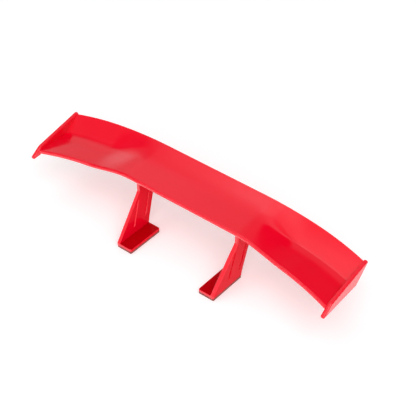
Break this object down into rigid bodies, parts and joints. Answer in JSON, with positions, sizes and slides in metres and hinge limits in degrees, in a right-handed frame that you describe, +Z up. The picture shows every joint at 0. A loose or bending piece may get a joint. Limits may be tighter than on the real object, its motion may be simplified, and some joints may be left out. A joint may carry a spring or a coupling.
{
  "type": "stick-on car rear wing",
  "caption": "Small stick-on rear wing for a car: a scooped blade with drooping tips between end plates, on splayed uprights whose L-shaped feet stand on adhesive foam.",
  "frame": {"origin": "middle of the wing's box in X and Y, at the underside of the foam pads in Z", "axes": "+X along the span to the wing's right tip (left is -X), -Y towards the leading edge and the feet's fronts, +Z up"},
  "size_m": [0.27, 0.0586, 0.0604],
  "materials": {
    "red_abs": "glossy, coloured in the moulding",
    "foam": "matt closed-cell foam",
    "screw_steel": "zinc plated"
  },
  "bodies": {
    "root": {"blade": "red_abs", "end_plate_left": "red_abs", "end_plate_right": "red_abs", "upright_left": "red_abs", "upright_right": "red_abs", "foam_pad_left": "foam", "foam_pad_right": "foam", "screw_left_front": "screw_steel", "screw_left_rear": "screw_steel", "screw_right_front": "screw_steel", "screw_right_rear": "screw_steel"}
  },
  "joints": []
}
